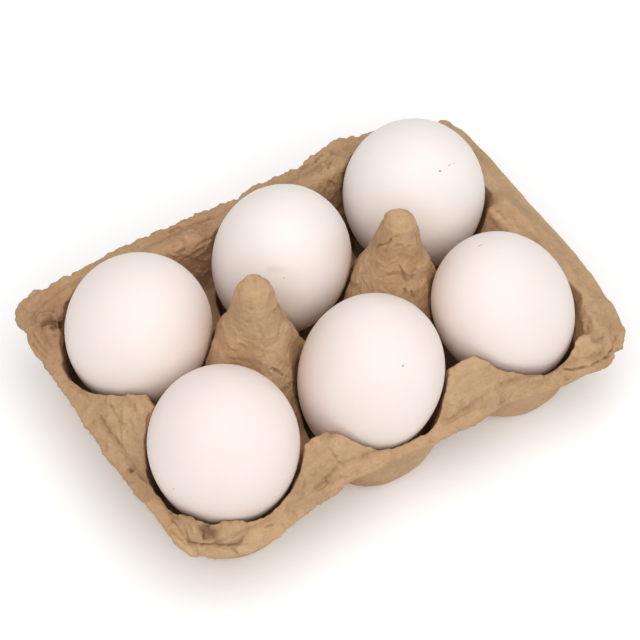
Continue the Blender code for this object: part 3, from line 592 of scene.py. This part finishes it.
def refine(plan, up, tris, limit):
    """Halve the edges of the steep parts above the eggs' widest that are longer than the limit."""
    top = np.column_stack((plan, up))
    pairs = np.stack((tris, np.roll(tris, -1, axis=1)), -1)
    long = np.linalg.norm(top[pairs[..., 0]] - top[pairs[..., 1]], axis=2)
    drop = np.abs(top[pairs[..., 0], 2] - top[pairs[..., 1], 2])
    cut = (long > limit) & (drop > 0.55 * long) & (top[pairs[..., 0], 2] > 17)
    key = np.sort(pairs, axis=2)
    key = key[..., 0].astype(np.int64) * len(top) + key[..., 1]
    edges = np.unique(key[cut])
    a, b = edges // len(top), edges % len(top)
    new = (plan[a] + plan[b]) / 2
    at = np.searchsorted(edges, key)
    at = np.minimum(at, len(edges) - 1)
    hit = edges[at] == key
    mid = np.where(hit, at + len(top), -1)
    count = hit.sum(1)
    out = [tris[count == 0]]
    for turn in range(3):
        t, m = np.roll(tris, -turn, axis=1), np.roll(mid, -turn, axis=1)
        one = (count == 1) & (m[:, 0] >= 0)
        v, w = t[one], m[one]
        out += [np.column_stack((v[:, 0], w[:, 0], v[:, 2])), np.column_stack((w[:, 0], v[:, 1], v[:, 2]))]
        two = (count == 2) & (m[:, 0] >= 0) & (m[:, 1] >= 0)
        v, w = t[two], m[two]
        out += [np.column_stack((w[:, 0], v[:, 1], w[:, 1])), np.column_stack((v[:, 0], w[:, 0], w[:, 1])),
                np.column_stack((v[:, 0], w[:, 1], v[:, 2]))]
    v, w = tris[count == 3], mid[count == 3]
    out += [np.column_stack((v[:, 0], w[:, 0], w[:, 2])), np.column_stack((w[:, 0], v[:, 1], w[:, 1])),
            np.column_stack((w[:, 2], w[:, 1], v[:, 2])), w]
    return (np.concatenate((plan, new)), np.concatenate((up, upper_skin(new[:, 0], new[:, 1]))), np.concatenate(out))


def build_tray():
    plan, quads, walk, around = tray_plan(UPPER_STEPS)
    ox, oy = outline(*around)
    bx, by = plan[walk, 0], plan[walk, 1]
    # rim rows of the upper skin, from the cells' border to the outline
    nx, ny = np.roll(oy, -1) - np.roll(oy, 1), -(np.roll(ox, -1) - np.roll(ox, 1))
    length = np.hypot(nx, ny)
    nx, ny = nx / length, ny / length
    wander = edge_wander(ox, oy, True)
    rows = 24
    rings, loop = [], walk
    points = [plan]
    count = len(plan)
    tri_quads = [quads]
    for k in range(1, rows + 1):
        t = 1 - (1 - k / rows) ** 1.25
        push = wander * ease(0.35, 1.0, t)
        x = bx + (ox - bx) * t + nx * push
        y = by + (oy - by) * t + ny * push
        ring = np.arange(count, count + len(walk))
        points.append(np.column_stack((x, y)))
        count += len(walk)
        tri_quads.append(np.column_stack((loop, ring, np.roll(ring, -1), np.roll(loop, -1))))
        rings.append((ring, t))
        loop = ring
    plan = np.concatenate(points)
    quads = np.concatenate(tri_quads)
    up = upper_skin(plan[:, 0], plan[:, 1])
    top = np.column_stack((plan, up))
    tris = split(top, quads)
    for limit in (1.0, 0.7, 0.5):
        plan, up, tris = refine(plan, up, tris, limit)
        top = np.column_stack((plan, up))
    # normals from the form's own slope
    e = 0.25
    x, y = plan[:, 0], plan[:, 1]
    n = np.column_stack(((upper_skin(x - e, y) - upper_skin(x + e, y)) / (2 * e),
                         (upper_skin(x, y - e) - upper_skin(x, y + e)) / (2 * e), np.ones(len(x))))
    n /= np.linalg.norm(n, axis=1)[:, None]
    depth = np.min(np.stack(rim_depths(plan[:, 0], plan[:, 1])), axis=0)
    d, shade_and_tone = relief(top, depth, n[:, 2])
    d = d * (0.12 + 0.88 * ease(9, 19, up))
    d = np.minimum(d, egg_room(top) - 0.3)
    for ring, t in rings:                   # the edge rounds over
        d[ring] -= 0.35 * ease(0.88, 1.0, t) ** 2
    top = top + n * d[:, None]

    # underside: coarser, its own relief
    plan2, quads2, walk2, around2 = tray_plan(UNDER_STEPS)
    ox2, oy2 = outline(*around2)
    nx2, ny2 = np.roll(oy2, -1) - np.roll(oy2, 1), -(np.roll(ox2, -1) - np.roll(ox2, 1))
    length = np.hypot(nx2, ny2)
    nx2, ny2 = nx2 / length, ny2 / length
    wander2 = edge_wander(ox2, oy2, False) - 0.35
    bx, by = plan2[walk2, 0], plan2[walk2, 1]
    points, count, tri_quads, loop2, rings2 = [plan2], len(plan2), [quads2], walk2, []
    for k in range(1, 7):
        t = k / 6
        push = wander2 * ease(0.35, 1.0, t)
        x = bx + (ox2 - bx) * t + nx2 * push
        y = by + (oy2 - by) * t + ny2 * push
        ring = np.arange(count, count + len(walk2))
        points.append(np.column_stack((x, y)))
        count += len(walk2)
        tri_quads.append(np.column_stack((loop2, ring, np.roll(ring, -1), np.roll(loop2, -1))))
        rings2.append((ring, t))
        loop2 = ring
    plan2, quads2 = np.concatenate(points), np.concatenate(tri_quads)
    down = lower_skin(plan2[:, 0], plan2[:, 1])
    under = np.column_stack((plan2, down))
    tris2 = split(under, quads2)
    n2 = -vertex_normals(under, tris2)
    d2 = 0.30 * noise(under, 9, 31) + 0.16 * noise(under, 3.4, 32)
    d2 = d2 * ease(0.4, 4.0, down) * 0.8
    under = under + n2 * np.minimum(d2, 0.25)[:, None]
    under[:, 2] = np.maximum(under[:, 2], 0.0)
    for ring, t in rings2:                  # and up, on the underside
        under[ring, 2] += 1.0 * ease(0.6, 1.0, t) ** 2

    # the edge between the two: rows that bulge a little, then two to one
    edge_top, edge_bot = top[loop], under[loop2]
    bot_fine = np.empty_like(edge_top)
    bot_fine[0::2] = edge_bot
    bot_fine[1::2] = (edge_bot + np.roll(edge_bot, -1, axis=0)) / 2
    out = np.column_stack((nx, ny, np.zeros_like(nx)))
    verts, faces, base = [top, under], [tris, tris2[:, ::-1] + len(top)], len(top) + len(under)
    prev = loop
    side_rows = 5
    for k in range(1, side_rows):
        s = k / side_rows
        mid = edge_top * (1 - s) + bot_fine * s
        rough = 0.16 * noise(mid, 1.6, 41) + 0.2 * noise(mid, 4.0, 42)
        mid = mid + out * (0.30 * math.sin(math.pi * s) ** 0.8 + rough * math.sin(math.pi * s))[:, None]
        ring = np.arange(base, base + len(loop))
        verts.append(mid)
        base += len(loop)
        q = np.column_stack((prev, np.roll(prev, -1), np.roll(ring, -1), ring))[:, ::-1]
        faces.append(np.concatenate((q[:, (0, 1, 2)], q[:, (0, 2, 3)])))
        prev = ring
    low = loop2 + len(top)
    even, odd, nxt = prev[0::2], prev[1::2], np.roll(prev[0::2], -1)
    low_next = np.roll(low, -1)
    faces.append(np.column_stack((even, low, odd)))
    faces.append(np.column_stack((odd, low, low_next)))
    faces.append(np.column_stack((odd, low_next, nxt)))
    v = (np.concatenate(verts) + SHIFT) * MM
    f = np.concatenate(faces)
    return v, f, np.concatenate((shade_and_tone, np.ones((len(v) - len(shade_and_tone), 3))))


def make_mesh(name, v, f):
    mesh = bpy.data.meshes.new(name)
    mesh.vertices.add(len(v))
    mesh.vertices.foreach_set("co", np.ascontiguousarray(v, dtype=np.float32).ravel())
    mesh.loops.add(f.size)
    mesh.loops.foreach_set("vertex_index", np.ascontiguousarray(f, dtype=np.int32).ravel())
    mesh.polygons.add(len(f))
    mesh.polygons.foreach_set("loop_start", np.arange(0, f.size, f.shape[1], dtype=np.int32))
    mesh.update(calc_edges=True)
    mesh.validate()
    return mesh


def add_object(name, mesh):
    ob = bpy.data.objects.new(name, mesh)
    bpy.context.scene.collection.objects.link(ob)
    return ob


# ----------------------------------------------------------------- materials
def node(tree, kind, **values):
    n = tree.nodes.new(kind)
    for key, value in values.items():
        if key in n.inputs:
            n.inputs[key].default_value = value
        else:
            setattr(n, key, value)
    return n


def pulp_material():
    mat = bpy.data.materials.new("pulp")
    mat.use_nodes = True
    t = mat.node_tree
    bsdf = t.nodes["Principled BSDF"]
    bsdf.inputs["Roughness"].default_value = 0.93
    bsdf.inputs["Specular IOR Level"].default_value = 0.25
    bsdf.inputs["Sheen Weight"].default_value = 0.0
    link = t.links.new
    coord = node(t, "ShaderNodeTexCoord")
    at = coord.outputs["Object"]

    def tex(scale, detail=3.0, rough=0.55, distortion=0.0):
        n = t.nodes.new("ShaderNodeTexNoise")
        n.inputs["Scale"].default_value = scale
        n.inputs["Detail"].default_value = detail
        n.inputs["Roughness"].default_value = rough
        n.inputs["Distortion"].default_value = distortion
        link(at, n.inputs["Vector"])
        return n.outputs["Fac"]

    def ramp(fac, stops):
        n = t.nodes.new("ShaderNodeValToRGB")
        els = n.color_ramp.elements
        while len(els) < len(stops):
            els.new(0.5)
        for el, (pos, col) in zip(els, stops):
            el.position = pos
            el.color = (*col, 1.0)
        link(fac, n.inputs["Fac"])
        return n.outputs["Color"]

    def mix(a, b, fac, blend="MIX"):
        n = t.nodes.new("ShaderNodeMix")
        n.data_type = "RGBA"
        n.blend_type = blend
        for value, socket in ((fac, n.inputs[0]), (a, n.inputs[6]), (b, n.inputs[7])):
            if hasattr(value, "is_linked"):
                link(value, socket)
            else:
                socket.default_value = value if isinstance(value, float) else (*value, 1.0)
        return n.outputs[2]

    base = ramp(tex(55, 4, 0.6), [(0.30, PULP_DARK), (0.52, PULP_MID), (0.72, PULP_LIGHT)])
    fibre = ramp(tex(420, 3, 0.65, 1.2), [(0.35, (0.80, 0.80, 0.80)), (0.62, (1.10, 1.10, 1.10))])
    colour = mix(base, fibre, 0.42, "MULTIPLY")
    # stray pale flecks
    vor = t.nodes.new("ShaderNodeTexVoronoi")
    vor.inputs["Scale"].default_value = 170
    link(at, vor.inputs["Vector"])
    dots = ramp(vor.outputs["Distance"], [(0.055, (1, 1, 1)), (0.085, (0, 0, 0))])
    some = ramp(vor.outputs["Color"], [(0.90, (0, 0, 0)), (0.93, (1, 1, 1))])
    flecks = mix(dots, some, 1.0, "MULTIPLY")
    colour = mix(colour, (0.78, 0.60, 0.42), flecks)
    # painted shade in creases, grooves and pits, and painted shade and light in patches, multiplied into the colour
    shade_and_tone = t.nodes.new("ShaderNodeAttribute")
    shade_and_tone.attribute_name = "shade_and_tone"
    colour = mix(colour, shade_and_tone.outputs["Color"], 1.0, "MULTIPLY")
    link(colour, bsdf.inputs["Base Color"])
    # fine fibres in the relief
    h1 = tex(260, 4, 0.6, 0.8)
    h2 = tex(900, 2, 0.5, 0.4)
    add = node(t, "ShaderNodeMath", operation="MULTIPLY_ADD")
    link(h2, add.inputs[0])
    add.inputs[1].default_value = 0.35
    link(h1, add.inputs[2])
    bump = t.nodes.new("ShaderNodeBump")
    bump.inputs["Strength"].default_value = 0.65
    bump.inputs["Distance"].default_value = 0.0006
    link(add.outputs[0], bump.inputs["Height"])
    link(bump.outputs["Normal"], bsdf.inputs["Normal"])
    return mat


# dirt on the shells: the two ends of each speck or streak, half width, strength
SPECKS = {
    "egg_back_right": (((49.2, 13.3, 58.0), (49.6, 13.1, 58.0), 0.28, 0.75), ((52.9, 13.8, 57.8), (54.0, 13.9, 57.6), 0.16, 0.6),
                       ((54.9, 14.0, 57.3), (55.7, 14.1, 57.0), 0.14, 0.45)),
    "egg_front_right": (((43.0, -17.2, 59.4), (44.0, -17.3, 59.6), 0.20, 0.6), ((44.4, -17.5, 59.6), (44.9, -17.4, 59.8), 0.14, 0.45)),
    "egg_front_middle": (((1.35, -40.2, 56.9), (1.7, -40.1, 57.0), 0.30, 0.55),),
    "egg_back_middle": (((-9.4, 7.9, 50.5), (-9.3, 7.8, 50.5), 0.22, 0.6), ((-12.2, 11.4, 52.6), (-8.2, 9.8, 52.0), 1.3, 0.10)),
    "egg_front_left": (((-70.9, -32.4, 39.1), (-70.5, -32.7, 39.4), 0.35, 0.25),),
}


def shell_material(name, specks, painted_light_tint):
    mat = bpy.data.materials.new(name)
    mat.use_nodes = True
    t = mat.node_tree
    bsdf = t.nodes["Principled BSDF"]
    bsdf.inputs["Roughness"].default_value = 0.52
    bsdf.inputs["Specular IOR Level"].default_value = 0.3
    bsdf.inputs["Subsurface Weight"].default_value = 0.12
    bsdf.inputs["Subsurface Scale"].default_value = 0.004
    bsdf.inputs["Subsurface Radius"].default_value = (1.0, 0.45, 0.3)
    link = t.links.new
    coord = node(t, "ShaderNodeTexCoord")
    big = t.nodes.new("ShaderNodeTexNoise")
    big.inputs["Scale"].default_value = 60
    big.inputs["Detail"].default_value = 3
    link(coord.outputs["Object"], big.inputs["Vector"])
    r = t.nodes.new("ShaderNodeValToRGB")
    r.color_ramp.elements[0].position, r.color_ramp.elements[1].position = 0.3, 0.7
    # the shell colour times the egg's tint of painted light and shade
    for element, shell in zip(r.color_ramp.elements, (SHELL_A, SHELL_B)):
        element.color = (*(c * k for c, k in zip(shell, painted_light_tint)), 1)
    link(big.outputs["Fac"], r.inputs["Fac"])
    colour = r.outputs["Color"]
    for start, end, width, strength in specks:
        # distance from the line between the speck's ends
        a, b = (np.array(start) + SHIFT) * MM, (np.array(end) + SHIFT) * MM
        ab = b - a

        def vector(operation, first, second):
            n = t.nodes.new("ShaderNodeVectorMath")
            n.operation = operation
            for value, socket in zip((first, second), n.inputs):
                if hasattr(value, "is_linked"):
                    link(value, socket)
                else:
                    socket.default_value = tuple(value)
            return n
        from_a = vector("SUBTRACT", coord.outputs["Object"], a)
        along = vector("DOT_PRODUCT", from_a.outputs["Vector"], ab / (ab @ ab))
        hold = t.nodes.new("ShaderNodeClamp")
        link(along.outputs["Value"], hold.inputs["Value"])
        reach = t.nodes.new("ShaderNodeVectorMath")
        reach.operation = "SCALE"
        reach.inputs[0].default_value = tuple(ab)
        link(hold.outputs["Result"], reach.inputs["Scale"])
        away = vector("DISTANCE", from_a.outputs["Vector"], reach.outputs["Vector"])
        fade = t.nodes.new("ShaderNodeMapRange")
        fade.inputs["From Min"].default_value = width * 0.4 * MM
        fade.inputs["From Max"].default_value = width * 1.3 * MM
        fade.inputs["To Min"].default_value = strength
        fade.inputs["To Max"].default_value = 0.0
        link(away.outputs["Value"], fade.inputs["Value"])
        mix = t.nodes.new("ShaderNodeMix")
        mix.data_type = "RGBA"
        link(fade.outputs["Result"], mix.inputs[0])
        link(colour, mix.inputs[6])
        mix.inputs[7].default_value = (0.13, 0.10, 0.07, 1.0)
        colour = mix.outputs[2]
    link(colour, bsdf.inputs["Base Color"])
    pores = t.nodes.new("ShaderNodeTexNoise")
    pores.inputs["Scale"].default_value = 1500
    pores.inputs["Detail"].default_value = 2
    link(coord.outputs["Object"], pores.inputs["Vector"])
    bump = t.nodes.new("ShaderNodeBump")
    bump.inputs["Strength"].default_value = 0.12
    bump.inputs["Distance"].default_value = 0.0001
    link(pores.outputs["Fac"], bump.inputs["Height"])
    link(bump.outputs["Normal"], bsdf.inputs["Normal"])
    return mat


PULP_DARK, PULP_MID, PULP_LIGHT = (0.44, 0.275, 0.150), (0.52, 0.335, 0.190), (0.58, 0.385, 0.225)
SHELL_A, SHELL_B = (0.925, 0.815, 0.765), (0.945, 0.845, 0.795)
# painted light and shade on single eggs: the back middle and back right shells painted whiter, the front left shell a
# little darker
SHELL_LIGHT_TINTS = {"egg_back_middle": (1.0, 1.035, 1.045), "egg_back_right": (1.0, 1.04, 1.055), "egg_front_left": (0.99, 0.975, 0.975)}
KEY_POWER, BACK_POWER, SKY = 26.0, 0.8, 0.38

# --------------------------------------------------------------------- build
v, f, shade_and_tone = build_tray()
raw = make_mesh("tray_raw", v, f)
rgba = np.column_stack((shade_and_tone, np.ones(len(shade_and_tone)))).astype(np.float32)
# per point colour factor with painted shade and light, read by the pulp material
raw.attributes.new("shade_and_tone", "FLOAT_COLOR", "POINT").data.foreach_set("color", rgba.ravel())
raw_ob = add_object("tray_raw", raw)
thin = raw_ob.modifiers.new("thin", "DECIMATE")
thin.ratio = min(1.0, TRAY_TRIANGLES / len(raw.polygons))
whole = bpy.data.meshes.new_from_object(raw_ob.evaluated_get(bpy.context.evaluated_depsgraph_get()))
bpy.data.objects.remove(raw_ob, do_unlink=True)

# the tray in three pieces from left to right, with one skin's normals
v = np.empty(len(whole.vertices) * 3)
whole.vertices.foreach_get("co", v)
v = v.reshape(-1, 3)
f = np.empty(len(whole.polygons) * 3, dtype=np.int32)
whole.loops.foreach_get("vertex_index", f)
f = f.reshape(-1, 3)
rgba = np.empty(len(v) * 4, dtype=np.float32)
whole.attributes["shade_and_tone"].data.foreach_get("color", rgba)
rgba = rgba.reshape(-1, 4)
normals = vertex_normals(v, f)
pulp = pulp_material()
middle_x = v[f, 0].mean(1)
cuts = np.quantile(middle_x, (0, 1 / 3, 2 / 3, 1))
for k in range(3):
    mine = f[(middle_x >= cuts[k]) & (middle_x <= cuts[k + 1] if k == 2 else middle_x < cuts[k + 1])]
    used, local = np.unique(mine, return_inverse=True)
    name = "tray_look_" + "abc"[k]
    mesh = make_mesh(name, v[used], local.reshape(-1, 3))
    mesh.attributes.new("shade_and_tone", "FLOAT_COLOR", "POINT").data.foreach_set("color", rgba[used].ravel())
    mesh.shade_smooth()
    mesh.normals_split_custom_set_from_vertices(normals[used])
    piece = add_object(name, mesh)
    mesh.materials.append(pulp)
    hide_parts("pulp_tray")
    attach(piece, "root")
bpy.data.meshes.remove(whole)
bpy.data.meshes.remove(raw)


def egg_look(name, x, y, z, a, c, lx, ly, seed):
    around, along = 96, 56
    t = np.cos(np.linspace(0, math.pi, along + 1))[1:-1]
    phi = np.linspace(0, 2 * math.pi, around, endpoint=False)
    tt, pp = np.meshgrid(t, phi, indexing="ij")
    r = a * np.sqrt(1 - tt * tt) * (1 + BLUNT * tt) / (1 + BLUNT * BLUNT / 2)
    pts = np.column_stack(((r * np.cos(pp)).ravel(), (r * np.sin(pp)).ravel(), (c * tt).ravel()))
    pts = np.concatenate((pts, [[0, 0, c], [0, 0, -c]]))
    n = pts / np.array((a, a, c)) ** 2
    n /= np.linalg.norm(n, axis=1)[:, None]
    off = pts + seed * 61.7
    pts = pts + n * (0.10 * noise(off, 19, 51) + 0.035 * noise(off, 6, 52) - 0.03)[:, None]
    axis = Vector((lx, ly, 1)).normalized()
    rot = np.array(Vector((0, 0, 1)).rotation_difference(axis).to_matrix())
    pts = pts @ rot.T + np.array((x, y, z)) + SHIFT
    grid = np.arange((along - 1) * around).reshape(along - 1, around)
    nxt = np.roll(grid, -1, axis=1)
    q = np.stack((grid[:-1], grid[1:], nxt[1:], nxt[:-1]), -1).reshape(-1, 4)
    tris = np.concatenate((q[:, (0, 1, 2)], q[:, (0, 2, 3)]))
    top, bottom = len(pts) - 2, len(pts) - 1
    caps = np.concatenate((np.column_stack((np.full(around, top), grid[0], nxt[0])),
                           np.column_stack((np.full(around, bottom), nxt[-1], grid[-1]))))
    mesh = make_mesh(name, pts * MM, np.concatenate((tris, caps)))
    mesh.shade_smooth()
    return add_object(name, mesh)


for index, (egg_name, numbers) in enumerate(EGGS.items()):
    piece = egg_look(egg_name + "_look", *numbers, index + 1)
    piece.data.materials.append(shell_material(egg_name + "_shell", SPECKS.get(egg_name, ()), SHELL_LIGHT_TINTS.get(egg_name, (1, 1, 1))))
    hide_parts(egg_name)
    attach(piece, "root")

# --------------------------------------------------------------------- stage
bpy.ops.mesh.primitive_plane_add(size=6.0, location=(0, 0, -0.0002))
floor = bpy.context.object
floor.name = "floor"
floor_mat = bpy.data.materials.new("floor")
floor_mat.use_nodes = True
fb = floor_mat.node_tree.nodes["Principled BSDF"]
fb.inputs["Base Color"].default_value = (0.96, 0.96, 0.96, 1)
fb.inputs["Roughness"].default_value = 0.9
fb.inputs["Specular IOR Level"].default_value = 0.1
fb.inputs["Emission Color"].default_value = (1, 1, 1, 1)
fb.inputs["Emission Strength"].default_value = 0.10
floor.data.materials.append(floor_mat)

world = bpy.data.worlds.new("world")
bpy.context.scene.world = world
world.use_nodes = True
world.node_tree.nodes["Background"].inputs["Color"].default_value = (1.0, 1.0, 1.0, 1)
world.node_tree.nodes["Background"].inputs["Strength"].default_value = SKY


def area(name, location, target, size, power, colour=(1, 1, 1)):
    data = bpy.data.lights.new(name, "AREA")
    data.shape = "DISK"
    data.size = size
    data.energy = power
    data.color = colour
    ob = bpy.data.objects.new(name, data)
    ob.location = location
    ob.rotation_euler = (Vector(target) - Vector(location)).to_track_quat("-Z", "Y").to_euler()
    bpy.context.scene.collection.objects.link(ob)
    return ob


# camera: azimuth, elevation, roll, distance and aim, in millimetres
AZ, EL, ROLL_ANGLE, DIST = -0.587911443, 0.969326655, 0.0411630427, 729.923985
AIM = (-1.31203207 + SHIFT[0], -0.335050683 + SHIFT[1], 32.6)
back = Vector((math.sin(AZ) * math.cos(EL), -math.cos(AZ) * math.cos(EL), math.sin(EL)))
right = Vector((math.cos(AZ), math.sin(AZ), 0))
up = back.cross(right)
r2 = right * math.cos(ROLL_ANGLE) + up * math.sin(ROLL_ANGLE)
u2 = up * math.cos(ROLL_ANGLE) - right * math.sin(ROLL_ANGLE)
place = (Vector(AIM) + back * DIST) * MM
data = bpy.data.cameras.new("camera")
data.lens = 135
data.sensor_width = 36
data.clip_start = 0.05
data.clip_end = 20
camera = bpy.data.objects.new("camera", data)
camera.matrix_world = Matrix(((r2.x, u2.x, back.x, place.x), (r2.y, u2.y, back.y, place.y),
                              (r2.z, u2.z, back.z, place.z), (0, 0, 0, 1)))
bpy.context.scene.collection.objects.link(camera)
bpy.context.scene.camera = camera

# a large soft lamp stands behind the camera, a little higher
middle = Vector(AIM) * MM
area("key", middle + (back + 0.26 * up + 0.08 * right).normalized() * 1.6, middle, 2.4, KEY_POWER)
area("back", (0.30, 0.40, 1.05), (0.03, 0.02, 0.03), 0.7, BACK_POWER)
bpy.context.scene.view_settings.view_transform = "Standard"
bpy.context.scene.view_settings.look = "None"
bpy.context.scene.view_settings.exposure = 0.0
